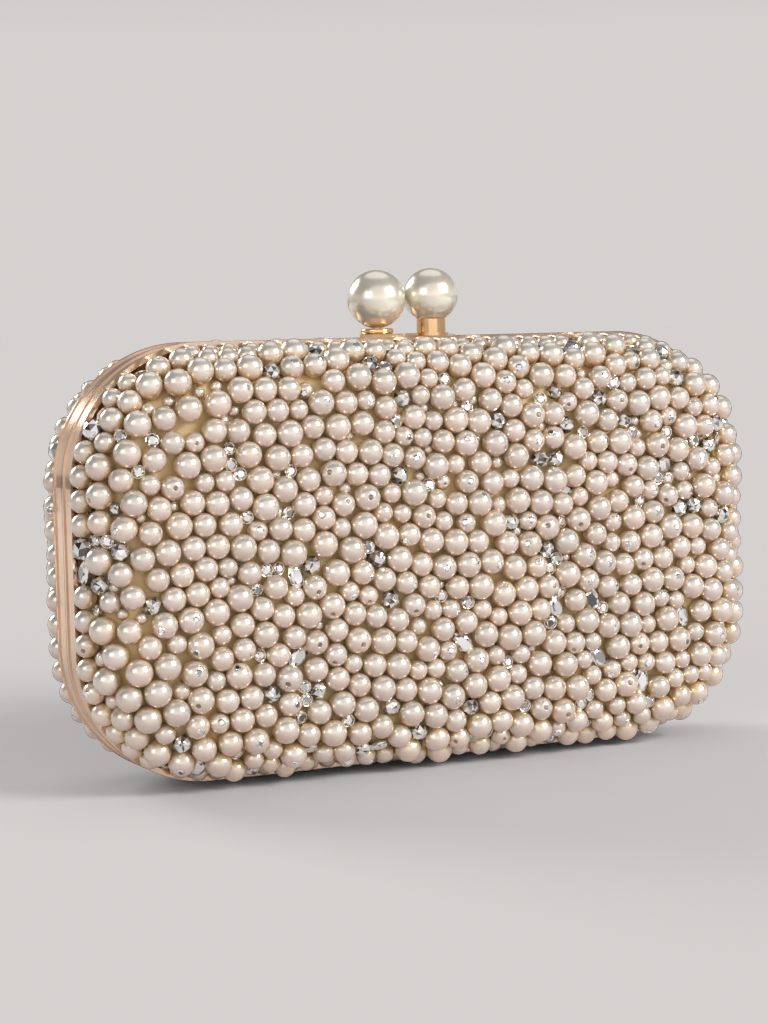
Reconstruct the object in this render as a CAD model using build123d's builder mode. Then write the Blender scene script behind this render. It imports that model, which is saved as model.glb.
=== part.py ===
from build123d import *
import os

# Evening bag: a hard two-part case covered in beads, on a hinged metal frame with a ball clasp.
#
# Two domed halves open like a clam on two small barrel hinges under the bottom edge. Each half is a
# moulded shell with a satin cover and lining, held in a channel frame, with a layer of beads glued over
# the cover. A ball on each frame crosses the other at the top and holds the bag shut.
#
# The frame is X along the bag's length, Y from front to back and Z up. The origin is under the middle
# of the bag, on the surface it stands on. The front half is at negative Y, and the halves meet at Y = 0.

# Metal frame: two channel rings that meet at the seam
frame_width = 180.0
frame_height = 104.0
frame_corner = 33.0
seam_gap = 0.2
band_width = 6.5
band_thickness = 1.0
band_lip_width = 0.9  # a low raised lip runs along each edge of a band
band_lip_height = 0.3
web_thickness = 1.0
lip_depth = 4.6
lip_thickness = 0.8

# Stack of layers in one half, from outside to inside
bead_thickness = 6.1
cover_thickness = 0.5
shell_thickness = 1.8
lining_thickness = 0.4
cover_inset = 4.6  # the cover's side wall, measured in from the frame's outer face
lip_clearance = 0.1
rim_start = 1.2  # depth where the layers begin, just clear of the frame's web
bead_start = 6.8  # depth where the beads begin, just clear of the band

# Dome of one half, as the cover's outer face
dome_depth = 19.5
dome_roll = 8.0  # radius of the edge between side wall and front
crown_radius_long = 1445.0  # the front's curve along the bag's length
crown_radius_high = 675.0  # the front's curve up its height

# Barrel hinges under the bottom edge
hinge_offset = 38.0
hinge_length = 20.0
hinge_drop = 0.1  # the hinge axis lies this far below the bands' raised lips, so they never meet
knuckle_radius = 1.0
pin_radius = 0.5
pin_clearance = 0.02
knuckle_gap = 0.2
front_knuckle_length = 9.6
leaf_thickness = 0.6
leaf_reach = 5.4
leaf_root = 0.7  # where a leaf meets its own knuckle
leaf_relief = 1.3  # where a leaf passes the other leaf's knuckle
pin_head_radius = 0.85
pin_head_length = 0.35
notch_reach = 1.6
notch_length = 21.6
rivet_radius = 0.75
rivet_head_radius = 1.3
rivet_head_height = 0.45
rivet_hole_clearance = 0.02
rivet_offset = 6.6
rivet_line = 3.6
rivet_head_round = 0.8  # a head's rounded edge, as a share of its height

# Ball clasp on top
ball_spacing = 14.4
ball_crossing = 0.65  # how far each ball stands past the seam
front_ball_radius = 7.2
front_ball_height = 9.7
back_ball_radius = 6.8
back_ball_height = 10.4
front_collar_radius = 4.1
back_post_radius = 3.6
spigot_radius = 1.2
spigot_length = 6.5
bore_clearance = 0.02
bore_extra_depth = 0.3
bore_entry = 1.0  # how far below a ball its bore's cut begins
collar_round = 0.4  # the front collar's rounded edges, as a share of its height
bracket_half_width = 4.3
bracket_lift = 0.4  # keeps a bracket clear of the other half's band
bracket_thickness = 0.7
bracket_outer_reach = 5.4
bracket_pad_inner = 1.1

# Worked out from the above
bead_proud = bead_thickness - cover_inset
mid_height = bead_proud + frame_height / 2
frame_top = mid_height + frame_height / 2
band_under = bead_proud
hinge_height = band_under - band_lip_height - hinge_drop
shell_inset = cover_inset + cover_thickness
lining_inset = shell_inset + shell_thickness
lining_inner_inset = lining_inset + lining_thickness
lip_inset = lining_inner_inset + lip_clearance
rim = Plane(origin=(0, 0, mid_height), x_dir=(1, 0, 0), z_dir=(0, -1, 0))


def outline(inset, mode=Mode.ADD):
    """The bag's rounded outline, drawn in from the frame's outer face."""
    return RectangleRounded(
        frame_width - 2 * inset, frame_height - 2 * inset, frame_corner - inset, mode=mode
    )


def ring(outer, inner, start, depth):
    """Adds a ring between two insets to the open part, from one depth from the seam to another."""
    with BuildSketch(rim.offset(start)) as profile:
        outline(outer)
        outline(inner, mode=Mode.SUBTRACT)
    extrude(profile.sketch, amount=depth - start)


def dome(inset, start):
    """A front half filled solid: side wall at an inset, crowned front, rolled edge between them."""
    step_in = inset - cover_inset
    with BuildPart() as solid:
        with BuildSketch(rim.offset(start)):
            outline(inset)
        extrude(amount=dome_depth + bead_thickness)
        with Locations((0, crown_radius_long - dome_depth, mid_height)):
            Torus(
                crown_radius_long - crown_radius_high,
                crown_radius_high - step_in,
                mode=Mode.INTERSECT,
            )
        fillet(solid.faces().sort_by(Axis.Y)[0].edges(), dome_roll - step_in)
    return solid.part


def layer(outer, inner, start):
    """One layer of a front half, between two insets."""
    outside = dome(outer, start)
    inside = dome(inner, start)
    with BuildPart() as tray:
        add(outside)
        add(inside, mode=Mode.SUBTRACT)
    return tray


# Frames -----------------------------------------------------------------------------------------

with BuildPart() as front_frame:
    seam = seam_gap / 2
    lip_start = band_width - band_lip_width
    ring(-band_lip_height, band_thickness, seam, seam + band_lip_width)
    ring(-band_lip_height, band_thickness, lip_start, band_width)
    ring(0, band_thickness, seam, band_width)
    ring(0, lip_inset + lip_thickness, seam, seam + web_thickness)
    ring(lip_inset, lip_inset + lip_thickness, seam, lip_depth)
    with Locations((-hinge_offset, 0, hinge_height), (hinge_offset, 0, hinge_height)):
        Box(notch_length, 2 * notch_reach, 2 * notch_reach, mode=Mode.SUBTRACT)
    for side in (-hinge_offset, hinge_offset):
        with BuildSketch(Plane.XY.offset(band_under)):
            with Locations((side - rivet_offset, -rivet_line), (side + rivet_offset, -rivet_line)):
                Circle(rivet_radius + rivet_hole_clearance)
        extrude(amount=band_thickness, mode=Mode.SUBTRACT)

with BuildPart() as back_frame:
    mirror(front_frame.part, about=Plane.XZ)

# Layers of each half ------------------------------------------------------------------------------

front_shell = layer(shell_inset, lining_inset, rim_start)
front_cover = layer(cover_inset, shell_inset, rim_start)
front_lining = layer(lining_inset, lining_inner_inset, rim_start)
front_beadwork = layer(-bead_proud, cover_inset, bead_start)

with BuildPart() as back_shell:
    mirror(front_shell.part, about=Plane.XZ)

with BuildPart() as back_cover:
    mirror(front_cover.part, about=Plane.XZ)

with BuildPart() as back_lining:
    mirror(front_lining.part, about=Plane.XZ)

with BuildPart() as back_beadwork:
    mirror(front_beadwork.part, about=Plane.XZ)

# Hinges -------------------------------------------------------------------------------------------


def knuckle(start, end):
    """Adds one hinge knuckle around the hinge axis, between two places along it."""
    with BuildSketch(Plane.YZ.offset(start)) as profile:
        with Locations((0, hinge_height)):
            Circle(knuckle_radius)
    extrude(profile.sketch, amount=end - start)


def leaf_plate(start, end, near):
    """Adds a flat part of a leaf on the back half, under its frame's band."""
    with BuildSketch(Plane.XY.offset(band_under - leaf_thickness)) as profile:
        with Locations(((start + end) / 2, (near + leaf_reach) / 2)):
            Rectangle(end - start, leaf_reach - near)
    extrude(profile.sketch, amount=leaf_thickness)


def leaf_holes(centre):
    """Cuts the pin's bore and the two rivet holes."""
    with BuildSketch(Plane.YZ.offset(centre - hinge_length)) as bore:
        with Locations((0, hinge_height)):
            Circle(pin_radius + pin_clearance)
    extrude(bore.sketch, amount=2 * hinge_length, mode=Mode.SUBTRACT)
    with BuildSketch(Plane.XY.offset(band_under - leaf_thickness)) as holes:
        with Locations((centre - rivet_offset, rivet_line), (centre + rivet_offset, rivet_line)):
            Circle(rivet_radius + rivet_hole_clearance)
    extrude(holes.sketch, amount=leaf_thickness, mode=Mode.SUBTRACT)


def back_leaf(centre):
    """A leaf with two outer knuckles."""
    inner = front_knuckle_length / 2 + knuckle_gap
    outer = hinge_length / 2
    with BuildPart() as leaf:
        for start, end in ((centre - outer, centre - inner), (centre + inner, centre + outer)):
            knuckle(start, end)
            leaf_plate(start, end, leaf_root)
        leaf_plate(centre - inner, centre + inner, leaf_relief)
        leaf_holes(centre)
    return leaf


def front_leaf(centre):
    """A leaf with one middle knuckle. It is drawn on the back half and mirrored to the front."""
    inner = front_knuckle_length / 2
    outer = hinge_length / 2
    with BuildPart() as drawn:
        knuckle(centre - inner, centre + inner)
        leaf_plate(centre - inner, centre + inner, leaf_root)
        for start, end in ((centre - outer, centre - inner), (centre + inner, centre + outer)):
            leaf_plate(start, end, leaf_relief)
        leaf_holes(centre)
    with BuildPart() as leaf:
        mirror(drawn.part, about=Plane.XZ)
    return leaf


def hinge_pin(centre):
    """A pin with a small head at each end."""
    half = hinge_length / 2 + knuckle_gap / 2
    with BuildPart() as pin:
        with BuildSketch(Plane.YZ.offset(centre - half)):
            with Locations((0, hinge_height)):
                Circle(pin_radius)
        extrude(amount=2 * half)
        for end, outward in ((centre - half, -pin_head_length), (centre + half, pin_head_length)):
            with BuildSketch(Plane.YZ.offset(end)):
                with Locations((0, hinge_height)):
                    Circle(pin_head_radius)
            extrude(amount=outward)
    return pin


back_hinge_leaf_left = back_leaf(-hinge_offset)
back_hinge_leaf_right = back_leaf(hinge_offset)
front_hinge_leaf_left = front_leaf(-hinge_offset)
front_hinge_leaf_right = front_leaf(hinge_offset)
hinge_pin_left = hinge_pin(-hinge_offset)
hinge_pin_right = hinge_pin(hinge_offset)

rivet_places = [
    (side + step, rivet_line)
    for side in (-hinge_offset, hinge_offset)
    for step in (-rivet_offset, rivet_offset)
]

with BuildPart() as back_hinge_rivets:
    leaf_under = band_under - leaf_thickness
    band_inside = band_under + band_thickness
    for level, radius, height in (
        (leaf_under - rivet_head_height, rivet_head_radius, rivet_head_height),
        (leaf_under, rivet_radius, leaf_thickness + band_thickness),
        (band_inside, rivet_head_radius, rivet_head_height),
    ):
        with BuildSketch(Plane.XY.offset(level)):
            with Locations(*rivet_places):
                Circle(radius)
        extrude(amount=height)
    head_rims = back_hinge_rivets.edges().filter_by(GeomType.CIRCLE).group_by(Axis.Z)[0]
    fillet(head_rims, rivet_head_height * rivet_head_round)

with BuildPart() as front_hinge_rivets:
    mirror(back_hinge_rivets.part, about=Plane.XZ)

# Clasp --------------------------------------------------------------------------------------------


def bracket(centre, side):
    """The plate that carries one ball, soldered to its own band. side is -1 for the front half."""
    ball_y = -side * ball_crossing
    pad_middle = side * (bracket_outer_reach + bracket_pad_inner) / 2
    tongue_middle = (side * bracket_outer_reach + ball_y) / 2
    with BuildPart() as plate:
        with BuildSketch(Plane.XY.offset(frame_top)):
            with Locations((centre, pad_middle)):
                Rectangle(2 * bracket_half_width, bracket_outer_reach - bracket_pad_inner)
        extrude(amount=bracket_lift)
        with BuildSketch(Plane.XY.offset(frame_top + bracket_lift)):
            with Locations((centre, tongue_middle)):
                Rectangle(2 * bracket_half_width, bracket_outer_reach + ball_crossing)
            with Locations((centre, ball_y)):
                Circle(bracket_half_width)
        extrude(amount=bracket_thickness)
    return plate


def ball(centre, side, radius, height):
    """One clasp ball, with a blind bore from below for its post."""
    ball_y = -side * ball_crossing
    ball_z = frame_top + height
    bore_bottom = ball_z - radius - bore_entry
    bore_top = ball_z - radius + spigot_length + bore_extra_depth
    with BuildPart() as made:
        with Locations((centre, ball_y, ball_z)):
            Sphere(radius)
        with BuildSketch(Plane.XY.offset(bore_bottom)):
            with Locations((centre, ball_y)):
                Circle(spigot_radius + bore_clearance)
        extrude(amount=bore_top - bore_bottom, mode=Mode.SUBTRACT)
    return made


def post(centre, side, collar_radius, collar_height, spigot_top):
    """Adds a post to the open part: a round collar with a spigot that goes up into the ball."""
    ball_y = -side * ball_crossing
    base = frame_top + bracket_lift + bracket_thickness
    with BuildSketch(Plane.XY.offset(base)) as collar:
        with Locations((centre, ball_y)):
            Circle(collar_radius)
    extrude(collar.sketch, amount=collar_height)
    with BuildSketch(Plane.XY.offset(base)) as spigot:
        with Locations((centre, ball_y)):
            Circle(spigot_radius)
    extrude(spigot.sketch, amount=spigot_top - base)


post_base = frame_top + bracket_lift + bracket_thickness
front_ball_x = -ball_spacing / 2
back_ball_x = ball_spacing / 2

front_clasp_bracket = bracket(front_ball_x, -1)
back_clasp_bracket = bracket(back_ball_x, 1)
front_clasp_ball = ball(front_ball_x, -1, front_ball_radius, front_ball_height)
back_clasp_ball = ball(back_ball_x, 1, back_ball_radius, back_ball_height)

# The front post is a low flanged collar that the ball stands on.
with BuildPart() as front_clasp_post:
    front_ball_bottom = frame_top + front_ball_height - front_ball_radius
    collar_height = front_ball_bottom - post_base
    post(front_ball_x, -1, front_collar_radius, collar_height, front_ball_bottom + spigot_length)
    collar_rims = (
        front_clasp_post.edges()
        .filter_by(GeomType.CIRCLE)
        .filter_by(lambda edge: edge.radius > front_collar_radius - 0.01)
    )
    fillet(collar_rims, collar_height * collar_round)

# The back post is a taller cylinder with a cup that the ball sits in.
back_ball_z = frame_top + back_ball_height
rim_drop = (back_ball_radius**2 - back_post_radius**2) ** 0.5
cup_height = back_ball_z - rim_drop - post_base
spigot_top = back_ball_z - back_ball_radius + spigot_length

with BuildPart() as ball_space:
    with Locations((back_ball_x, -ball_crossing, back_ball_z)):
        Sphere(back_ball_radius + bore_clearance)
    with BuildSketch(Plane.XY.offset(post_base)):
        with Locations((back_ball_x, -ball_crossing)):
            Circle(spigot_radius)
    extrude(amount=back_ball_z + back_ball_radius - post_base, mode=Mode.SUBTRACT)

with BuildPart() as back_clasp_post:
    post(back_ball_x, 1, back_post_radius, cup_height, spigot_top)
    add(ball_space.part, mode=Mode.SUBTRACT)

# Files --------------------------------------------------------------------------------------------

pieces = {
    "back_shell": back_shell,
    "back_cover": back_cover,
    "back_lining": back_lining,
    "back_beadwork": back_beadwork,
    "back_frame": back_frame,
    "back_hinge_leaf_left": back_hinge_leaf_left,
    "back_hinge_leaf_right": back_hinge_leaf_right,
    "back_hinge_rivets": back_hinge_rivets,
    "hinge_pin_left": hinge_pin_left,
    "hinge_pin_right": hinge_pin_right,
    "back_clasp_bracket": back_clasp_bracket,
    "back_clasp_post": back_clasp_post,
    "back_clasp_ball": back_clasp_ball,
    "front_shell": front_shell,
    "front_cover": front_cover,
    "front_lining": front_lining,
    "front_beadwork": front_beadwork,
    "front_frame": front_frame,
    "front_hinge_leaf_left": front_hinge_leaf_left,
    "front_hinge_leaf_right": front_hinge_leaf_right,
    "front_hinge_rivets": front_hinge_rivets,
    "front_clasp_bracket": front_clasp_bracket,
    "front_clasp_post": front_clasp_post,
    "front_clasp_ball": front_clasp_ball,
}

os.makedirs("parts", exist_ok=True)
for name, piece in pieces.items():
    piece.part.label = name
    export_step(piece.part, f"parts/{name}.step")
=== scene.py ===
import math

import bmesh
import bpy
import numpy as np
from mathutils import Matrix, Vector


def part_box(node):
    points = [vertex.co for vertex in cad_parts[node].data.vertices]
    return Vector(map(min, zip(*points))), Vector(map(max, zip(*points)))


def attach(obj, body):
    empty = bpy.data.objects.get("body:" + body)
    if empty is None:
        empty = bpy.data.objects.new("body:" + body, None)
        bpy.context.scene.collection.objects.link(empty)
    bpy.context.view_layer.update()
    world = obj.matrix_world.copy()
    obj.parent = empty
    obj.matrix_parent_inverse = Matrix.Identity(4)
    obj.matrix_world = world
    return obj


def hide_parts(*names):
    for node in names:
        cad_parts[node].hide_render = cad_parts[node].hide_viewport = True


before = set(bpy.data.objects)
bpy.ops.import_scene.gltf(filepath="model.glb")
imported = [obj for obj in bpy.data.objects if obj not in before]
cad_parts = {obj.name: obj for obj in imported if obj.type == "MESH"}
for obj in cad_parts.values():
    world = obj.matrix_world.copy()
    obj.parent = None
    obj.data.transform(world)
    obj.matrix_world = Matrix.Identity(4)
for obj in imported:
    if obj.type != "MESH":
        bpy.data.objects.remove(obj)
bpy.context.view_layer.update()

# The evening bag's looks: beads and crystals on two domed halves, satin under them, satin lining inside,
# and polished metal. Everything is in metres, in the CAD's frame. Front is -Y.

MM = 0.001
RNG = np.random.default_rng(7)
# Painted glints: how bright each facet of a cut stone is painted, in place of the light it throws back
PAINTED_FACET_GLINTS = np.array([(c, c, c, 1) for c in (0.10, 0.30, 0.65, 0.95, 1.0, 1.0, 1.0)])

# The cover's dome, from the frame's boxes and the bag's own curves
COVER_LOW, COVER_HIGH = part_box("front_cover")
HALF_LENGTH = (COVER_HIGH[0] - COVER_LOW[0]) / 2
HALF_HEIGHT = (COVER_HIGH[2] - COVER_LOW[2]) / 2
MIDDLE = (COVER_HIGH[2] + COVER_LOW[2]) / 2
DEPTH = -COVER_LOW[1]
BAND_EDGE = -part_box("front_frame")[0][1]
CORNER = 28.4 * MM
ROLL = 8 * MM  # the radius between the dome's side and its front
CROWN_LONG = 1.445  # the front's own radii of curve, along and up
CROWN_HIGH = 0.675

# Bead sizes, as diameters, with the share of each
PEARL_SIZES = ((6.7 * MM, 0.32), (6.1 * MM, 0.33), (5.2 * MM, 0.18))
CRYSTAL_SIZES = ((4.8 * MM, 0.065), (3.2 * MM, 0.10))
RIM_PEARL = 4.9 * MM  # in the row beside the band

# The kinds a bead can be, as places in the two lists above
SMALL_PEARL = len(PEARL_SIZES) - 1
CUT_CRYSTAL = len(PEARL_SIZES)
CHATON = CUT_CRYSTAL + 1

# Fillers, as diameters and sorts, in the order they are tried
FILLERS = (
    (4.8 * MM, "pearl"),
    (4.2 * MM, "pearl"),
    (3.1 * MM, "stone"),
    (3.6 * MM, "pearl"),
    (3.0 * MM, "pearl"),
)
FILLER_STONES = 0.5  # the share of the gaps big enough for a stone that get one
FILLER_CRYSTALS = 0.14  # the share of the other fillers that are cut crystals
FILLER_FIT = 0.72  # how much of its radius a filler must have free around it
FILLER_RISE = 0.38  # how high a filler stands over the cover, as a share of its radius
FILLER_TRIES = 10000
FILLER_SPREAD = 4 * MM  # how far from a bead the tries fall
FILLER_SPACING = 1.9  # between two fillers of one size, in radii
TRY_PARTS = 10  # the tries are measured in this many parts, to save memory

# Where beads start, and how they are pressed together
SIDE_LOOPS = 4
LOOP_ANGLE = 0.42  # how far each loop round the side leans in from the last, in radians
LOOP_STEP = 3.6 * MM
FIRST_LOOP = 3.0 * MM  # from the band's edge
SIDE_OUT = 2.5 * MM  # how far out from the cover the loops start
LOOP_CORNER = 4 * MM  # the least corner radius of a loop
PITCH = 5.6 * MM
ROW_PITCH = 4.9 * MM
RIM_ROOM = 1.04  # the first loop's pitch, in rim pearls
FRONT_INSET = 8.5 * MM  # how far in from the outline the front's rows begin
JITTER = 1.5 * MM
PRESS_STEPS = 260
PAIR_STEPS = 10  # how often the close pairs are found again
PAIR_REACH = 9 * MM
LOOSE_STEPS = 120
LOOSE_ROOM = 1.06  # how far apart beads are pushed in the loose steps, where 1 is touching
PUSH = 0.45  # the share of an overlap that each bead of a pair gives way by
PUSH_LIMIT = 0.8 * MM
TRIMS = {140: 0.55, 170: 0.45, 200: 0.35}  # at each step, the overlap in radii that costs a bead its place
SMALLEST_SHARE = 0.96  # a bead's least radius, as a share of its nominal one

# How beads stand
BEAD_SINK = 0.5 * MM
RIM_RISE = 0.1 * MM  # how much higher the row beside the band stands
SIDE_RISE = 0.8 * MM  # how much higher again at the bag's two ends
SIDE_GROWTH = 0.2  # how much larger that row's beads are at the ends
CHATON_LIFT = 2.1 * MM  # a chaton's middle over the cover
CHATON_SIZE = 0.9  # a chaton's stone, as a share of its place's radius
BAND_CLEARANCE = 0.15 * MM
RIM_ROW_WIDTH = 4.0 * MM
SECOND_ROW = 0.45  # how much further out than that row the others stay, in their own radii
DRILLED_SHARE = 0.30
DRILLED_STONES = 0.55  # the share of the drilled pearls that hold a small stone
DRILLED_STONE = 0.95 * MM
DRILLED_DEPTH = 0.93  # how far out that stone sits, as a share of the pearl's radius
LONG_SHARE = 0.3  # the share of the cut crystals that are long ovals
LONG_SIZE = 1.05
DRILLED_HOLE = 0.2  # the hole's radius, as a share of the pearl's
# How far each sort may lean from the dome's normal, in radians
TILTS = {"drilled": (0.0, 0.95), "cut": (0.2, 1.3), "long": (0.0, 0.4), "chaton": (0.0, 0.45)}

# A bead's own tone and warmth, which differ at random, and how much red, green and blue it loses below and
# at its glued side, as painted shade with a painted pink reflection below and painted shade with painted
# golden bounce light at its glued side
DARKEST = 0.88
WARMTH = 0.012
PAINTED_UNDERSIDE_SHADE = np.array([0.14, 0.27, 0.28])
PAINTED_GAP_BOUNCE = np.array([0.02, 0.15, 0.42])

# The satin sheets, as depths under the cover's outer face
COVER_THICKNESS = 0.45 * MM
LINING_OUTER = 2.35 * MM
LINING_INNER = 2.70 * MM
LINING_RIPPLE = 0.7 * MM
SHEET_START = 1.3 * MM  # how far from the seam both sheets start
SHEET_MIDDLE = 1.0 * MM  # how near the last ring comes to the dome's middle line
SHEET_CORNER = 0.6 * MM  # the least corner radius of a ring

# The lamps: name, place, width and height, watts and colour
LAMPS = (
    ("key", (0.62, -0.80, 0.62), (0.50, 0.46), 9.6, (1.0, 0.99, 0.98)),
    ("front", (-0.20, -1.0, 0.55), (1.7, 1.2), 4.2, (1.0, 0.98, 0.96)),
    ("back", (-0.50, 0.90, 0.62), (0.6, 0.5), 6, (1.0, 0.98, 0.95)),
    ("fill", (-0.95, -0.55, 0.45), (0.60, 0.55), 2.0, (0.96, 0.97, 1.0)),
)
SKY_POWER = 0.45
SKY_SPREAD = 50
SKY_LEAN = (-20, 12)
SKY_LEVELS = ((0.0, 0.66), (0.56, 0.66), (0.66, 0.26), (0.80, 0.12))  # from straight down to straight up
FLOOR_REACH = 20

# The camera: the lens in millimetres and the angles in degrees
LENS = 84.4
SENSOR = 36
CAMERA_DISTANCE = 0.608
CAMERA_AZIMUTH = -26.6
CAMERA_ELEVATION = 10.2
CAMERA_YAW = 0.58
CAMERA_PITCH = -5.75
CAMERA_ROLL = -1.33
CAMERA_LIFT = 1.1 * MM


# Node helpers ---------------------------------------------------------------------------------------


class Nodes:
    """A material with a Principled shader, and short ways to add nodes to it."""

    def __init__(self, name, **inputs):
        self.material = bpy.data.materials.new(name)
        self.material.use_nodes = True
        self.tree = self.material.node_tree
        self.shader = self.tree.nodes["Principled BSDF"]
        for key, value in inputs.items():
            self.shader.inputs[key.replace("_", " ")].default_value = value

    def add(self, kind, **values):
        node = self.tree.nodes.new(kind)
        for key, value in values.items():
            if hasattr(node, key):
                setattr(node, key, value)
            else:
                node.inputs[key.replace("_", " ")].default_value = value
        return node

    def link(self, source, target):
        self.tree.links.new(source, target)

    def drive(self, source, name):
        self.link(source, self.shader.inputs[name])

    def position(self, scale=(1, 1, 1)):
        coordinates = self.add("ShaderNodeTexCoord")
        mapping = self.add("ShaderNodeMapping")
        mapping.inputs["Scale"].default_value = scale
        self.link(coordinates.outputs["Object"], mapping.inputs["Vector"])
        return mapping.outputs["Vector"]

    def noise(self, scale, detail=3, roughness=0.5, stretch=(1, 1, 1)):
        node = self.add("ShaderNodeTexNoise")
        node.inputs["Scale"].default_value = scale
        node.inputs["Detail"].default_value = detail
        node.inputs["Roughness"].default_value = roughness
        self.link(self.position(stretch), node.inputs["Vector"])
        return node.outputs["Fac"]

    def ramp(self, source, *stops):
        node = self.add("ShaderNodeValToRGB")
        elements = node.color_ramp.elements
        while len(elements) < len(stops):
            elements.new(0.5)
        for element, (place, colour) in zip(elements, stops, strict=True):
            element.position = place
            element.color = (*colour, 1) if len(colour) == 3 else colour
        self.link(source, node.inputs["Fac"])
        return node.outputs["Color"]

    def span(self, source, low, high):
        node = self.add("ShaderNodeMapRange")
        node.inputs["To Min"].default_value = low
        node.inputs["To Max"].default_value = high
        self.link(source, node.inputs["Value"])
        return node.outputs["Result"]

    def tint(self, colour, other):
        node = self.add("ShaderNodeMix", data_type="RGBA", blend_type="MULTIPLY")
        node.inputs["Factor"].default_value = 1
        self.link(colour, node.inputs["A"])
        self.link(other, node.inputs["B"])
        return node.outputs["Result"]

    def bump(self, source, distance, strength=1.0, before=None):
        node = self.add("ShaderNodeBump")
        node.inputs["Strength"].default_value = strength
        node.inputs["Distance"].default_value = distance
        self.link(source, node.inputs["Height"])
        if before is not None:
            self.link(before, node.inputs["Normal"])
        return node.outputs["Normal"]


# Materials ------------------------------------------------------------------------------------------


def pearl_material(name, cream, tinted=True):
    """Nacre: a satin, half metallic body under a soft clear coat, tinted bead by bead with each bead's own
    tone and its painted shade, painted pink reflection and painted golden bounce light.
    """
    m = Nodes(name, Metallic=0.55, Coat_Weight=0.6, Coat_Roughness=0.10, Coat_IOR=1.6)
    m.shader.inputs["Specular IOR Level"].default_value = 0.6
    m.shader.inputs["Sheen Weight"].default_value = 0.25
    m.shader.inputs["Sheen Roughness"].default_value = 0.25
    m.shader.inputs["Sheen Tint"].default_value = (1.0, 0.80, 0.50, 1)
    cloud = m.noise(260, detail=4, roughness=0.6)
    body = m.ramp(cloud, (0.30, [c * 0.97 for c in cream]), (0.72, cream))
    if tinted:
        # the tint layer holds each bead's own tone with its painted shade, painted pink reflection and
        # painted golden bounce light
        own = m.add("ShaderNodeVertexColor", layer_name="tint")
        body = m.tint(body, own.outputs["Color"])
    m.drive(body, "Base Color")
    m.drive(m.span(m.noise(300, detail=2), 0.22, 0.28), "Roughness")
    m.drive(m.bump(m.noise(500, detail=1), 0.00002, 0.15), "Normal")
    return m.material


def metal_material(name, colour, worn, scratch_axis=(1, 1, 1)):
    """Polished plate with fine rubbing marks and slight tarnish."""
    m = Nodes(name, Metallic=1.0, Roughness=0.14)
    tone = m.noise(70, detail=5, roughness=0.65)
    m.drive(m.ramp(tone, (0.28, worn), (0.62, colour)), "Base Color")
    rub = m.noise(420, detail=5, roughness=0.7, stretch=scratch_axis)
    m.drive(m.span(rub, 0.07, 0.24), "Roughness")
    m.drive(m.bump(rub, 0.00003, 0.22), "Normal")
    return m.material


def satin_material(name, light, dark, sheen=0.35):
    """Satin with a fine twill, soft sheen and slight shade changes."""
    m = Nodes(name, Roughness=0.48, Sheen_Weight=sheen, Sheen_Roughness=0.4)
    m.shader.inputs["Sheen Tint"].default_value = (1.0, 0.93, 0.84, 1)
    weave = m.add("ShaderNodeTexWave", wave_type="BANDS", bands_direction="DIAGONAL")
    weave.inputs["Scale"].default_value = 900
    weave.inputs["Distortion"].default_value = 1.5
    weave.inputs["Detail"].default_value = 2
    m.link(m.position(), weave.inputs["Vector"])
    cloud = m.noise(45, detail=4, roughness=0.6)
    body = m.ramp(cloud, (0.3, dark), (0.7, light))
    thread = m.ramp(weave.outputs["Fac"], (0.0, (0.90, 0.90, 0.90)), (1.0, (1, 1, 1)))
    m.drive(m.tint(body, thread), "Base Color")
    m.drive(m.span(cloud, 0.40, 0.56), "Roughness")
    folds = m.bump(cloud, 0.0006, 0.4)
    m.drive(m.bump(weave.outputs["Fac"], 0.00006, 0.5, before=folds), "Normal")
    return m.material


def crystal_material(name):
    """Clear cut glass over a part-silvered back. Each facet has its own painted glint brightness, from the
    tint layer.
    """
    m = Nodes(name, Roughness=0.02, IOR=1.6, Metallic=0.75, Transmission_Weight=0.5, Coat_Weight=1.0)
    m.shader.inputs["Coat Roughness"].default_value = 0.01
    # the tint layer holds each facet's painted glint brightness
    own = m.add("ShaderNodeVertexColor", layer_name="tint")
    smoke = m.ramp(m.noise(700), (0.3, (0.94, 0.93, 0.95)), (0.7, (1.0, 1.0, 1.0)))
    m.drive(m.tint(smoke, own.outputs["Color"]), "Base Color")
    return m.material


def foiled_material(name):
    """Glass with silver foil behind it, which throws light back from every facet, and a painted glint
    brightness on each facet from the tint layer.
    """
    m = Nodes(name, Metallic=0.85, Coat_Weight=1.0, Coat_Roughness=0.02, Coat_IOR=1.7)
    # the tint layer holds each facet's painted glint brightness
    own = m.add("ShaderNodeVertexColor", layer_name="tint")
    foil = m.ramp(m.noise(600), (0.3, (0.90, 0.89, 0.91)), (0.7, (1.0, 0.99, 0.98)))
    m.drive(m.tint(foil, own.outputs["Color"]), "Base Color")
    m.drive(m.span(m.noise(1500), 0.03, 0.10), "Roughness")
    return m.material


def floor_material():
    m = Nodes("floor", Roughness=0.75)
    m.drive(m.ramp(m.noise(3), (0.3, (0.74, 0.73, 0.72)), (0.7, (0.78, 0.77, 0.76))), "Base Color")
    return m.material


# Mesh helpers ---------------------------------------------------------------------------------------


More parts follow.
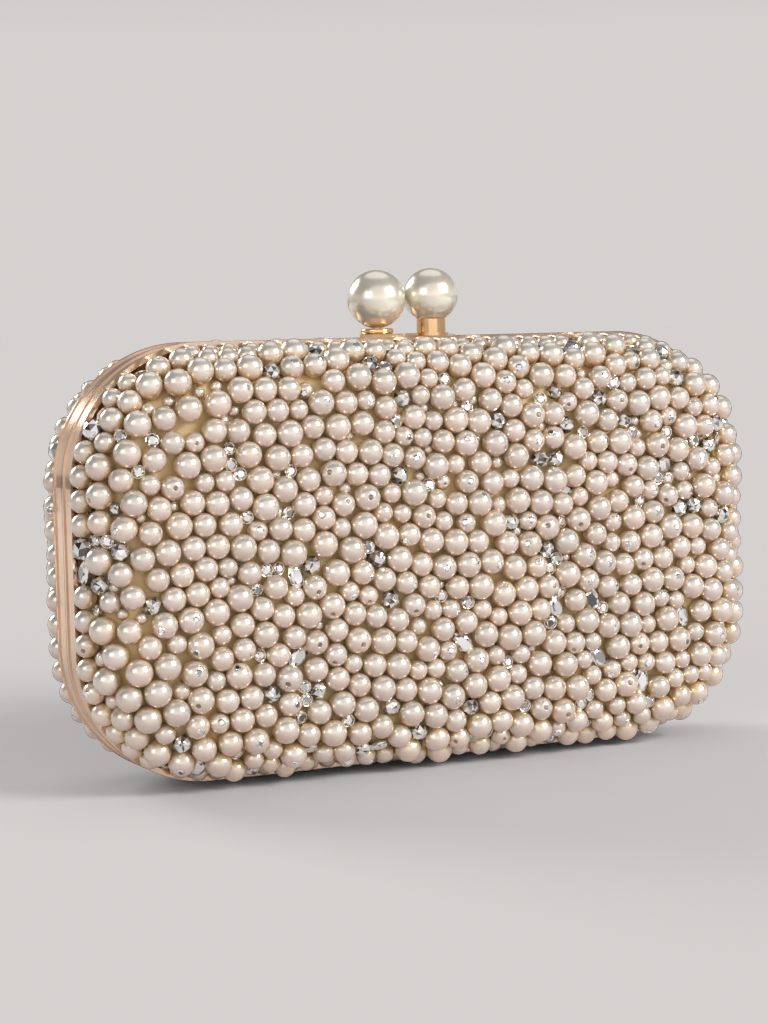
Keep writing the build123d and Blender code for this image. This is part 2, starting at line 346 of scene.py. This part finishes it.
def mesh_object(name, points, faces, smooth=True, tints=None):
    """One mesh object. faces is a list of faces, or all their corners in a row and each face's size.
    tints is a colour for each point or for each face corner."""
    mesh = bpy.data.meshes.new(name)
    if isinstance(faces, list):
        flat = [index for face in faces for index in face]
        sizes = [len(face) for face in faces]
    else:
        flat, sizes = faces
    starts = np.concatenate([[0], np.cumsum(sizes)[:-1]])
    mesh.vertices.add(len(points))
    mesh.vertices.foreach_set("co", np.asarray(points, dtype=np.float32).ravel())
    mesh.loops.add(len(flat))
    mesh.loops.foreach_set("vertex_index", np.asarray(flat, dtype=np.int32))
    mesh.polygons.add(len(sizes))
    mesh.polygons.foreach_set("loop_start", starts.astype(np.int32))
    mesh.polygons.foreach_set("use_smooth", np.full(len(sizes), smooth))
    mesh.update(calc_edges=True)
    if tints is not None:
        domain = "POINT" if len(tints) == len(points) else "CORNER"
        layer = mesh.color_attributes.new("tint", "FLOAT_COLOR", domain)
        layer.data.foreach_set("color", np.asarray(tints, dtype=np.float32).ravel())
    piece = bpy.data.objects.new(name, mesh)
    bpy.context.scene.collection.objects.link(piece)
    return piece


def lathe(profile, sides):
    """Points and faces of a turned shape. profile is (radius, height) pairs, and radius 0 closes an end."""
    points = []
    rings = []
    for radius, height in profile:
        if radius < 1e-9:
            rings.append([len(points)])
            points.append((0, 0, height))
            continue
        rings.append(list(range(len(points), len(points) + sides)))
        for k in range(sides):
            angle = 2 * math.pi * k / sides
            points.append((radius * math.cos(angle), radius * math.sin(angle), height))
    faces = []
    for lower, upper in zip(rings, rings[1:]):
        for k in range(sides):
            n = (k + 1) % sides
            if len(lower) == 1:
                faces.append((lower[0], upper[n], upper[k]))
            elif len(upper) == 1:
                faces.append((lower[k], lower[n], upper[0]))
            else:
                faces.append((lower[k], lower[n], upper[n], upper[k]))
    return np.array(points), faces


def round_ball(cuts):
    """A unit ball with even squares all over it."""
    grid = np.tan(np.linspace(-math.pi / 4, math.pi / 4, cuts + 1))
    shape = bmesh.new()
    for axis in range(3):
        for side in (-1, 1):
            for i in range(cuts):
                for j in range(cuts):
                    corners = []
                    for u, v in ((i, j), (i + 1, j), (i + 1, j + 1), (i, j + 1)):
                        place = [0, 0, 0]
                        place[axis] = side
                        place[(axis + 1) % 3] = grid[u]
                        place[(axis + 2) % 3] = grid[v]
                        corners.append(shape.verts.new(Vector(place).normalized()))
                    shape.faces.new(corners if side > 0 else corners[::-1])
    bmesh.ops.remove_doubles(shape, verts=shape.verts, dist=1e-4)
    shape.verts.index_update()
    points = np.array([v.co[:] for v in shape.verts])
    faces = [tuple(v.index for v in f.verts) for f in shape.faces]
    shape.free()
    return points, faces


def drilled_ball(hole, sides=18, rings=9):
    """A unit ball with a drilled hole at its top, its rim slightly rounded."""
    rim = math.asin(hole)
    profile = [(0, -1)]
    for k in range(1, rings + 1):
        angle = math.pi - (math.pi - rim * 1.25) * k / rings
        profile.append((math.sin(angle), math.cos(angle)))
    profile += [(hole * 1.05, math.cos(rim) - 0.015), (hole * 0.92, math.cos(rim) - 0.07)]
    profile += [(hole * 0.88, 0.45), (0, 0.42)]
    return lathe(profile, sides)


def cut_ball(sides=8):
    """A faceted glass bead: rings of flat facets, each turned half a step from the last."""
    rings = ((0.34, -0.90), (0.80, -0.56), (1.0, 0.0), (0.80, 0.56), (0.34, 0.90))
    points = [(0, 0, -0.90)]
    for row, (radius, height) in enumerate(rings):
        for k in range(sides):
            angle = 2 * math.pi * (k + 0.5 * (row % 2)) / sides
            points.append((radius * math.cos(angle), radius * math.sin(angle), height))
    points.append((0, 0, 0.90))
    faces = [(0, 1 + (k + 1) % sides, 1 + k) for k in range(sides)]
    for row in range(len(rings) - 1):
        a, b = 1 + row * sides, 1 + (row + 1) * sides
        shift = row % 2
        for k in range(sides):
            n = (k + 1) % sides
            if shift:
                faces += [(a + k, b + n, b + k), (a + k, a + n, b + n)]
            else:
                faces += [(a + k, a + n, b + k), (a + n, b + n, b + k)]
    last = 1 + (len(rings) - 1) * sides
    faces += [(last + k, last + (k + 1) % sides, len(points) - 1) for k in range(sides)]
    return np.array(points), faces


def brilliant(sides=8):
    """A round brilliant-cut stone with its flat table up and its point down."""
    points = []
    table = [(0.56, 0.34, 0.0), (0.80, 0.22, 0.5), (1.0, 0.05, 0.0), (1.0, -0.03, 0.0)]
    for radius, height, turn in table:
        for k in range(sides):
            angle = 2 * math.pi * (k + turn) / sides
            points.append((radius * math.cos(angle), radius * math.sin(angle), height))
    points.append((0, 0, -0.72))
    faces = [tuple(range(sides))]
    for k in range(sides):
        n = (k + 1) % sides
        faces += [(k, sides + k, n), (n, sides + k, sides + n)]
        faces += [(sides + k, 2 * sides + k, 2 * sides + n), (sides + k, 2 * sides + n, sides + n)]
        faces += [(2 * sides + k, 3 * sides + k, 3 * sides + n, 2 * sides + n)]
        faces += [(3 * sides + k, len(points) - 1, 3 * sides + n)]
    return np.array(points), faces


def oval_stone():
    """A long oval brilliant with its table up."""
    points, faces = brilliant(10)
    return points * np.array([1.3, 0.82, 0.9]), faces


def prong_cup(prongs=4):
    """The metal cup that holds a chaton: a turned wall with a claw over the stone at each quarter."""
    outside = [(0, -0.86), (0.62, -0.86), (0.80, -0.70), (1.10, -0.08), (1.16, 0.02)]
    inside = [(1.12, 0.07), (1.02, 0.03), (0.70, -0.60), (0, -0.62)]
    points, faces = lathe(outside + inside, 16)
    points = [tuple(p) for p in points]
    for k in range(prongs):
        angle = 2 * math.pi * (k + 0.5) / prongs
        out = np.array([math.cos(angle), math.sin(angle), 0])
        side = np.array([-math.sin(angle), math.cos(angle), 0])
        first = len(points)
        claw = ((1.16, -0.10), (1.12, 0.18), (0.88, 0.26), (0.86, 0.18), (1.02, 0.04))
        for reach, height in claw:
            for width in (-0.13, 0.13):
                points.append(tuple(out * reach + side * width + np.array([0, 0, height])))
        for a in range(len(claw)):
            b = (a + 1) % len(claw)
            faces.append((first + 2 * a, first + 2 * a + 1, first + 2 * b + 1, first + 2 * b))
        faces.append(tuple(first + 2 * a for a in reversed(range(len(claw)))))
        faces.append(tuple(first + 2 * a + 1 for a in range(len(claw))))
    return np.array(points), faces


def scatter(name, template, centres, radii, turns, tints=None, smooth=True):
    """Copies a unit template to every place, as one piece made of separate closed shapes.
    Flat-sided copies get a painted glint brightness of their own on every facet."""
    points, faces = template
    count = len(centres)
    placed = np.einsum("nij,vj->nvi", turns, points) * radii[:, None, None] + centres[:, None, :]
    flat = np.array([index for face in faces for index in face])
    sizes = np.array([len(face) for face in faces])
    shifts = np.arange(count)[:, None] * len(points)
    all_flat = (flat[None, :] + shifts).ravel()
    all_sizes = np.tile(sizes, count)
    colours = None
    if not smooth:
        # painted glints: a random brightness painted on each facet
        painted_glints = PAINTED_FACET_GLINTS[RNG.integers(0, len(PAINTED_FACET_GLINTS), (count, len(faces)))]
        colours = np.repeat(painted_glints.reshape(-1, 4), all_sizes, axis=0)
    if tints is not None:
        colours = np.ones((count, len(points), 4))
        colours[:, :, :3] = tints
        colours = colours.reshape(-1, 4)
    return mesh_object(name, placed.reshape(-1, 3), (all_flat, all_sizes), smooth, colours)


# The dome and the beads' places ---------------------------------------------------------------------


def outline_distance(x, z):
    """Distance outside the cover's outline, seen from the front."""
    qx = np.abs(x) - (HALF_LENGTH - CORNER)
    qz = np.abs(z) - (HALF_HEIGHT - CORNER)
    return np.hypot(np.maximum(qx, 0), np.maximum(qz, 0)) + np.minimum(np.maximum(qx, qz), 0) - CORNER


def dome_distance(p):
    """Distance outside the cover. p is along, depth and height from the dome's middle."""
    x, depth, z = p[:, 0], p[:, 1], p[:, 2]
    over = depth - (DEPTH - x * x / (2 * CROWN_LONG) - z * z / (2 * CROWN_HIGH))
    a = outline_distance(x, z) + ROLL
    b = over + ROLL
    return np.hypot(np.maximum(a, 0), np.maximum(b, 0)) + np.minimum(np.maximum(a, b), 0) - ROLL


def dome_normal(p):
    step = 0.05 * MM
    slopes = []
    for axis in range(3):
        shift = np.zeros(3)
        shift[axis] = step
        slopes.append(dome_distance(p + shift) - dome_distance(p - shift))
    normal = np.stack(slopes, axis=1)
    return normal / np.linalg.norm(normal, axis=1, keepdims=True)


def settle(p, heights, lowest):
    """Moves points onto the dome at their own heights over it, and no nearer the band than allowed."""
    for _ in range(2):
        p = p + dome_normal(p) * (heights - dome_distance(p))[:, None]
        p[:, 1] = np.maximum(p[:, 1], lowest)
    return p


def first_places():
    """Loops of places round the dome's side, the first along the band, then rows across its front."""
    places = []
    rim_count = 0
    for loop in range(SIDE_LOOPS):
        angle = loop * LOOP_ANGLE
        inset = ROLL * (1 - math.cos(angle)) - SIDE_OUT * math.cos(angle)
        depth = BAND_EDGE + FIRST_LOOP + loop * LOOP_STEP
        corner = max(CORNER - inset, LOOP_CORNER)
        straight_x = HALF_LENGTH - inset - corner
        straight_z = HALF_HEIGHT - inset - corner
        around = 4 * (straight_x + straight_z) + 2 * math.pi * corner
        count = int(around / (RIM_PEARL * RIM_ROOM if loop == 0 else PITCH))
        for k in range(count):
            distance = (k + 0.5 * (loop % 2)) / count * around
            places.append(along_outline(distance, straight_x, straight_z, corner, depth))
        rim_count = rim_count or count
    rows = int(2 * HALF_HEIGHT / ROW_PITCH)
    for row in range(rows):
        z = -HALF_HEIGHT + (row + 0.5) * 2 * HALF_HEIGHT / rows
        shift = 0.5 * (row % 2)
        for k in range(int(2 * HALF_LENGTH / PITCH)):
            x = -HALF_LENGTH + (k + 0.25 + shift) * PITCH
            if outline_distance(np.array([x]), np.array([z]))[0] < -FRONT_INSET:
                places.append((x, DEPTH, z))
    return np.array(places), np.arange(len(places)) < rim_count


def along_outline(distance, straight_x, straight_z, corner, depth):
    """The place at a distance along a rounded rectangle, from the middle of its top."""
    quarter = math.pi * corner / 2
    side = (quarter, 2 * straight_z, quarter)
    runs = (straight_x, *side, 2 * straight_x, *side, straight_x)
    heading = 0.0
    x, z = 0.0, straight_z + corner
    for index, run in enumerate(runs):
        step = min(distance, run)
        if index % 2 == 0:
            x += step * math.cos(heading)
            z -= step * math.sin(heading)
        else:
            turn = step / corner
            x += corner * (math.sin(heading + turn) - math.sin(heading))
            z += corner * (math.cos(heading + turn) - math.cos(heading))
            heading += turn
        distance -= step
        if distance <= 0:
            break
    return (x, depth, z)


def close_pairs(places):
    gaps = np.linalg.norm(places[:, None] - places[None], axis=2)
    return np.nonzero(np.triu(gaps < PAIR_REACH, 1))


def bead_layout(rng):
    """Beads pressed together all over one half. Returns places, radii and kinds."""
    places, rims = first_places()
    places = places + rng.normal(0, JITTER, places.shape)
    sizes = np.array([size for size, share in PEARL_SIZES + CRYSTAL_SIZES])
    shares = np.array([share for size, share in PEARL_SIZES + CRYSTAL_SIZES])
    kinds = rng.choice(len(sizes), len(places), p=shares / shares.sum())
    kinds[rims & (kinds < SMALL_PEARL)] = SMALL_PEARL
    radii = sizes[kinds] / 2 * rng.uniform(SMALLEST_SHARE, 1.0, len(places))
    radii[rims & (kinds == SMALL_PEARL)] *= RIM_PEARL / sizes[SMALL_PEARL]
    sideways = dome_normal(places)[:, 0] ** 2
    radii = np.where(rims, radii * (1 + SIDE_GROWTH * sideways), radii)
    rise = np.where(rims, RIM_RISE + SIDE_RISE * sideways, 0)
    heights = np.where(kinds == CHATON, CHATON_LIFT, radii - BEAD_SINK) + rise
    lowest = BAND_EDGE + np.where(rims, BAND_CLEARANCE + radii, RIM_ROW_WIDTH + SECOND_ROW * radii)
    for step in range(PRESS_STEPS):
        if step % PAIR_STEPS == 0:
            first, second = close_pairs(places)
        apart = places[first] - places[second]
        distance = np.maximum(np.linalg.norm(apart, axis=1), 1e-6)
        wanted = (radii[first] + radii[second]) * (LOOSE_ROOM if step < LOOSE_STEPS else 1.0)
        overlap = np.maximum(wanted - distance, 0)
        push = apart / distance[:, None] * (overlap * PUSH)[:, None]
        move = np.zeros_like(places)
        np.add.at(move, first, push)
        np.add.at(move, second, -push)
        places = settle(places + np.clip(move, -PUSH_LIMIT, PUSH_LIMIT), heights, lowest)
        if step in TRIMS:
            crowding = np.zeros(len(places))
            np.add.at(crowding, first, overlap)
            np.add.at(crowding, second, overlap)
            keep = crowding < TRIMS[step] * radii
            places, radii, heights = places[keep], radii[keep], heights[keep]
            kinds, lowest = kinds[keep], lowest[keep]
            first, second = close_pairs(places)
    return fill_gaps(rng, places, radii, kinds)


def fill_gaps(rng, places, radii, kinds):
    """Puts small pearls, crystals and chatons wherever the packing leaves room for one."""
    for size, sort in FILLERS:
        radius = size / 2
        is_stone = sort == "stone"
        height = CHATON_LIFT if is_stone else FILLER_RISE * radius
        near = places[rng.integers(0, len(places), FILLER_TRIES)]
        tries = near + rng.normal(0, FILLER_SPREAD, (FILLER_TRIES, 3))
        tries = settle(settle(tries, height, BAND_EDGE + BAND_CLEARANCE + radius), height, BAND_EDGE)
        room = np.concatenate([
            (np.linalg.norm(part[:, None] - places[None], axis=2) - radii[None]).min(axis=1)
            for part in np.array_split(tries, TRY_PARTS)
        ])
        room = np.where(tries[:, 1] < BAND_EDGE + BAND_CLEARANCE + 0.9 * radius, 0, room)
        added = []
        for index in np.argsort(-room):
            if room[index] < radius * FILLER_FIT:
                break
            if all(np.linalg.norm(tries[index] - other) > FILLER_SPACING * radius for other in added):
                added.append(tries[index])
        if is_stone:
            added = [place for place in added if rng.random() < FILLER_STONES]
        if not added:
            continue
        crystal = rng.random(len(added)) < FILLER_CRYSTALS
        kind = np.full(len(added), CHATON) if is_stone else np.where(crystal, CUT_CRYSTAL, SMALL_PEARL)
        places = np.concatenate([places, added])
        radii = np.concatenate([radii, np.full(len(added), radius)])
        kinds = np.concatenate([kinds, kind])
    return places, radii, kinds


def facing_turns(normals, spins, tilts=None, rng=None):
    """Turns that point each copy's top along its normal, spun by its own angle and tilted if asked."""
    turns = []
    for index, normal in enumerate(normals):
        turn = Vector((0, 0, 1)).rotation_difference(Vector(normal)).to_matrix()
        if tilts is not None:
            way = rng.uniform(0, 2 * math.pi)
            tilt = Matrix.Rotation(tilts[index], 3, Vector((math.cos(way), math.sin(way), 0)))
            turn = turn @ tilt
        turns.append(np.array(turn @ Matrix.Rotation(spins[index], 3, "Z")))
    return np.array(turns)


def bead_tones_and_painted_light(rng, count, points, turns, normals):
    """A colour at each point of each bead: its own cream, painted shade and pink reflection below, and
    painted shade and golden bounce light round its glued side.
    """
    shade = rng.uniform(DARKEST, 1.0, (count, 1, 1))
    warm = rng.normal(0, WARMTH, (count, 1, 1))
    base = shade * np.concatenate([1 + warm, 1 - 0.3 * abs(warm), 1 - 1.5 * warm], axis=2)
    facing = np.einsum("nij,vj->nvi", turns, points)
    # Painted shade and pink reflection: the bead's downward-facing points lose red, green and blue
    painted_underside_mask = np.clip(0.35 - 1.1 * facing[:, :, 2:3], 0, 1)
    painted_underside_shade = 1 - painted_underside_mask * PAINTED_UNDERSIDE_SHADE
    outward = np.einsum("nvi,ni->nv", facing, normals)[:, :, None]
    # Painted shade and golden bounce light: points facing the cover and the neighbouring beads lose green
    # and most of their blue
    painted_gap_mask = np.clip((0.55 - outward) / 0.6, 0, 1)
    painted_gap_bounce = 1 - painted_gap_mask * PAINTED_GAP_BOUNCE
    return np.clip(base * painted_underside_shade * painted_gap_bounce, 0, 1)


def make_half(half, side, rng):
    """Every bead and crystal of one half. side is -1 at the front and 1 at the back."""
    places, radii, kinds = bead_layout(rng)
    flip = np.array([1, side, 1])
    normals = dome_normal(places) * flip
    centres = places * flip + np.array([0, 0, MIDDLE])
    count = len(places)
    spins = rng.uniform(0, 2 * math.pi, count)
    drilled = np.nonzero((kinds <= SMALL_PEARL) & (rng.random(count) < DRILLED_SHARE))[0]
    plain = np.setdiff1d(np.arange(count), drilled)
    made = []

    def add(word, template, look, chosen, turns, tints=None, size=1.0):
        smooth = tints is not None
        name = f"{half}_{word}"
        piece = scatter(name, template, centres[chosen], radii[chosen] * size, turns, tints, smooth)
        made.append((piece, look))

    def turned(chosen, sort=None):
        tilts = rng.uniform(*TILTS[sort], len(chosen)) if sort else None
        return facing_turns(normals[chosen], spins[chosen], tilts, rng)

    ball = round_ball(6)
    for kind, word in enumerate(("large", "medium", "small")):
        chosen = plain[kinds[plain] == kind]
        turns = turned(chosen)
        tints = bead_tones_and_painted_light(rng, len(chosen), ball[0], turns, normals[chosen])
        add(f"pearls_{word}", ball, "pearl", chosen, turns, tints)

    holed = drilled_ball(DRILLED_HOLE)
    turns = turned(drilled, "drilled")
    tints = bead_tones_and_painted_light(rng, len(drilled), holed[0], turns, normals[drilled])
    add("pearls_drilled", holed, "pearl", drilled, turns, tints)

    set_in = rng.random(len(drilled)) < DRILLED_STONES
    tops = centres[drilled] + turns[:, :, 2] * (radii[drilled] * DRILLED_DEPTH)[:, None]
    sizes = np.full(set_in.sum(), DRILLED_STONE)
    stones = scatter(f"{half}_pearl_stones", brilliant(), tops[set_in], sizes, turns[set_in], smooth=False)
    made.append((stones, "foiled"))

    cut = np.nonzero(kinds == CUT_CRYSTAL)[0]
    turns = turned(cut, "cut")
    is_long = rng.random(len(cut)) < LONG_SHARE
    add("cut_crystals", cut_ball(), "crystal", cut[~is_long], turns[~is_long])
    long = cut[is_long]
    add("long_crystals", oval_stone(), "foiled", long, turned(long, "long"), size=LONG_SIZE)

    chatons = np.nonzero(kinds == CHATON)[0]
    turns = turned(chatons, "chaton")
    add("chatons", brilliant(), "foiled", chatons, turns, size=CHATON_SIZE)
    add("chaton_cups", prong_cup(), "cup", chatons, turns, size=CHATON_SIZE)
    return made


# Sheets: the satin under the beads and the lining -----------------------------------------------------


def side_point(end, angle, half_x, half_z, corner):
    """The point at an angle round one corner of a rounded rectangle."""
    return (end[0] * half_x + corner * math.cos(angle), end[1] * half_z + corner * math.sin(angle))


def outline_ring(half_x, half_z, corner, arc_steps, side_steps):
    """Points once round a rounded rectangle, with twice as many along its length as up its height."""
    ends = ((1, 1), (-1, 1), (-1, -1), (1, -1))
    ring = []
    for turn, end in enumerate(ends):
        for k in range(arc_steps):
            ring.append(side_point(end, math.pi / 2 * (turn + k / arc_steps), half_x, half_z, corner))
        angle = math.pi / 2 * (turn + 1)
        first = side_point(end, angle, half_x, half_z, corner)
        last = side_point(ends[(turn + 1) % 4], angle, half_x, half_z, corner)
        steps = side_steps * 2 if turn % 2 == 0 else side_steps
        for k in range(steps):
            t = k / steps
            ring.append(tuple(a + (b - a) * t for a, b in zip(first, last)))
    return np.array(ring)


def dome_rings(offset, start, arc_steps=10, side_steps=14, roll_steps=7, front_steps=9, wall_steps=4):
    """Rings of points over the dome at an offset from the cover, from the rim to the front's middle."""
    length, height = HALF_LENGTH + offset, HALF_HEIGHT + offset
    roll = ROLL + offset
    # Each ring's inset, then its depth on the straight wall, or its drop from the crown
    stations = [(0.0, start + (DEPTH - roll - start) * k / wall_steps, None) for k in range(wall_steps - 1)]
    for angle in np.linspace(0, math.pi / 2, roll_steps):
        stations.append((roll * (1 - math.cos(angle)), None, roll * (1 - math.sin(angle))))
    last = height - SHEET_MIDDLE
    for k in range(1, front_steps + 1):
        stations.append((roll + (last - roll) * k / front_steps, None, 0.0))
    rings = []
    for inset, fixed, drop in stations:
        corner = max(CORNER + offset - inset, SHEET_CORNER)
        ring = outline_ring(length - inset - corner, height - inset - corner, corner, arc_steps, side_steps)
        crown = DEPTH + offset - ring[:, 0] ** 2 / (2 * CROWN_LONG) - ring[:, 1] ** 2 / (2 * CROWN_HIGH)
        if fixed is None:
            depth = crown - drop
        else:
            share = (fixed - start) / (DEPTH - roll - start)
            depth = start + (crown - roll - start) * share
        rings.append(np.stack([ring[:, 0], depth, ring[:, 1]], axis=1))
    return rings


def dome_sheet(name, side, outer, inner, start, ripple):
    """A closed sheet over the dome, between two offsets, with soft ripples on its inner face."""
    points = []
    faces = []
    bases = []
    for layer, offset in enumerate((outer, inner)):
        rings = dome_rings(offset, start)
        size = len(rings[0])
        base = len(points)
        bases.append(base)
        as_listed = (layer == 0) == (side < 0)
        for ring in rings:
            for x, depth, z in ring:
                if layer == 1:
                    depth -= ripple * ripple_at(x, z)
                points.append((x, side * depth, z + MIDDLE))
        for row in range(len(rings) - 1):
            for k in range(size):
                n = (k + 1) % size
                low, high = base + row * size, base + (row + 1) * size
                face = (low + k, low + n, high + n, high + k)
                faces.append(face if as_listed else face[::-1])
        middle = tuple(base + (len(rings) - 1) * size + k for k in range(size))
        faces.append(middle if as_listed else middle[::-1])
    a, b = bases
    for k in range(size):
        n = (k + 1) % size
        face = (a + n, a + k, b + k, b + n)
        faces.append(face if side < 0 else face[::-1])
    return mesh_object(name, points, faces)


def ripple_at(x, z):
    """0 to 1: shallow pulls in the lining, fading towards its edge."""
    edge = float(np.clip(-outline_distance(np.array([x]), np.array([z]))[0] / (12 * MM), 0, 1))
    wave = math.sin(x * 210 + 1.7 * math.sin(z * 95)) * math.sin(z * 160 + 1.3 * math.sin(x * 70))
    return edge * (0.5 + 0.5 * wave)


# Making everything ----------------------------------------------------------------------------------

materials = {
    "pearl": pearl_material("pearl", (0.83, 0.765, 0.68)),
    "clasp_pearl": pearl_material("clasp_pearl", (0.80, 0.745, 0.63), tinted=False),
    "crystal": crystal_material("crystal"),
    "foiled": foiled_material("foiled_crystal"),
    "cup": metal_material("cup_metal", (0.92, 0.84, 0.76), (0.80, 0.70, 0.60)),
    "rose_gold": metal_material("rose_gold", (0.80, 0.59, 0.44), (0.63, 0.45, 0.33), (1, 8, 1)),
    "gold": metal_material("gold", (0.92, 0.62, 0.34), (0.80, 0.50, 0.27)),
    "steel": metal_material("steel", (0.70, 0.68, 0.66), (0.55, 0.53, 0.51)),
    "cover": satin_material("cover_satin", (0.92, 0.71, 0.38), (0.78, 0.58, 0.29)),
    "lining": satin_material("lining_satin", (0.78, 0.66, 0.52), (0.66, 0.54, 0.41), sheen=0.5),
    "shell": satin_material("shell_moulding", (0.72, 0.69, 0.64), (0.66, 0.63, 0.58), sheen=0.0),
}


def finish_piece(piece, body, look):
    piece.data.materials.append(materials[look])
    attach(piece, body)


for half, side in (("front", -1), ("back", 1)):
    body = f"{half}_half"
    beads = make_half(half, side, RNG)
    for piece, look in beads:
        finish_piece(piece, body, look)
    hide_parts(f"{half}_beadwork")

    cover = dome_sheet(f"{half}_cover_satin", side, 0.0, -COVER_THICKNESS, SHEET_START, 0.0)
    finish_piece(cover, body, "cover")
    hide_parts(f"{half}_cover")
    name = f"{half}_lining_satin"
    lining = dome_sheet(name, side, -LINING_OUTER, -LINING_INNER, SHEET_START, LINING_RIPPLE)
    finish_piece(lining, body, "lining")
    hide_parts(f"{half}_lining")

CAD_LOOKS = {
    "shell": "shell",
    "frame": "rose_gold",
    "hinge_leaf_left": "rose_gold",
    "hinge_leaf_right": "rose_gold",
    "hinge_rivets": "rose_gold",
    "clasp_bracket": "gold",
    "clasp_post": "gold",
    "clasp_ball": "clasp_pearl",
}
node_looks = {f"{half}_{part}": look for half in ("front", "back") for part, look in CAD_LOOKS.items()}
node_looks.update(hinge_pin_left="steel", hinge_pin_right="steel")
for name, look in node_looks.items():
    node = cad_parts[name]
    node.data.materials.clear()
    node.data.materials.append(materials[look])


# Studio ---------------------------------------------------------------------------------------------


def add_object(name, data):
    made = bpy.data.objects.new(name, data)
    bpy.context.scene.collection.objects.link(made)
    return made


def area_light(name, place, size, power, colour):
    """A rectangular lamp that faces the middle of the bag."""
    data = bpy.data.lights.new(name, "AREA")
    data.shape = "RECTANGLE"
    data.size, data.size_y = size
    data.energy = power
    data.color = colour
    lamp = add_object(name, data)
    lamp.location = place
    lamp.rotation_euler = (Vector((0, 0, MIDDLE)) - Vector(place)).to_track_quat("-Z", "Y").to_euler()


def make_studio():
    reach = FLOOR_REACH
    corners = [(-reach, -reach, 0), (reach, -reach, 0), (reach, reach, 0), (-reach, reach, 0)]
    floor = mesh_object("floor", corners, [(0, 1, 2, 3)])
    floor.data.materials.append(floor_material())
    floor.is_shadow_catcher = True
    for lamp in LAMPS:
        area_light(*lamp)
    sky = bpy.data.lights.new("sky", "SUN")
    sky.energy = SKY_POWER
    sky.angle = math.radians(SKY_SPREAD)
    add_object("sky", sky).rotation_euler = [math.radians(lean) for lean in (*SKY_LEAN, 0)]
    bpy.context.scene.world = studio_world()


def studio_world():
    """Pale at the horizon and dim overhead, so that round things show their shape."""
    world = bpy.data.worlds.new("studio")
    world.use_nodes = True
    tree = world.node_tree
    coordinates = tree.nodes.new("ShaderNodeTexCoord")
    split = tree.nodes.new("ShaderNodeSeparateXYZ")
    ramp = tree.nodes.new("ShaderNodeValToRGB")
    while len(ramp.color_ramp.elements) < len(SKY_LEVELS):
        ramp.color_ramp.elements.new(0.5)
    for element, (place, level) in zip(ramp.color_ramp.elements, SKY_LEVELS, strict=True):
        element.position = place
        element.color = (level, level * 0.97, level * 0.95, 1)
    half = tree.nodes.new("ShaderNodeMapRange")
    half.inputs["From Min"].default_value = -1
    tree.links.new(coordinates.outputs["Generated"], split.inputs["Vector"])
    tree.links.new(split.outputs["Z"], half.inputs["Value"])
    tree.links.new(half.outputs["Result"], ramp.inputs["Fac"])
    tree.links.new(ramp.outputs["Color"], tree.nodes["Background"].inputs["Color"])
    return world


def make_camera():
    data = bpy.data.cameras.new("camera")
    data.lens = LENS
    data.sensor_width = SENSOR
    data.clip_start = 0.01
    data.clip_end = 50
    camera = add_object("camera", data)
    azimuth, elevation = math.radians(CAMERA_AZIMUTH), math.radians(CAMERA_ELEVATION)
    level = math.cos(elevation)
    way = Vector((math.sin(azimuth) * level, -math.cos(azimuth) * level, math.sin(elevation)))
    camera.location = CAMERA_DISTANCE * way
    camera.location.z += CAMERA_LIFT
    turn = Matrix.Rotation(azimuth + math.radians(CAMERA_YAW), 4, "Z")
    lean = Matrix.Rotation(math.pi / 2 - elevation - math.radians(CAMERA_PITCH), 4, "X")
    roll = Matrix.Rotation(math.radians(CAMERA_ROLL), 4, "Z")
    camera.rotation_euler = (turn @ lean @ roll).to_euler()
    bpy.context.scene.camera = camera


make_studio()
make_camera()
bpy.context.scene.view_settings.view_transform = "Standard"
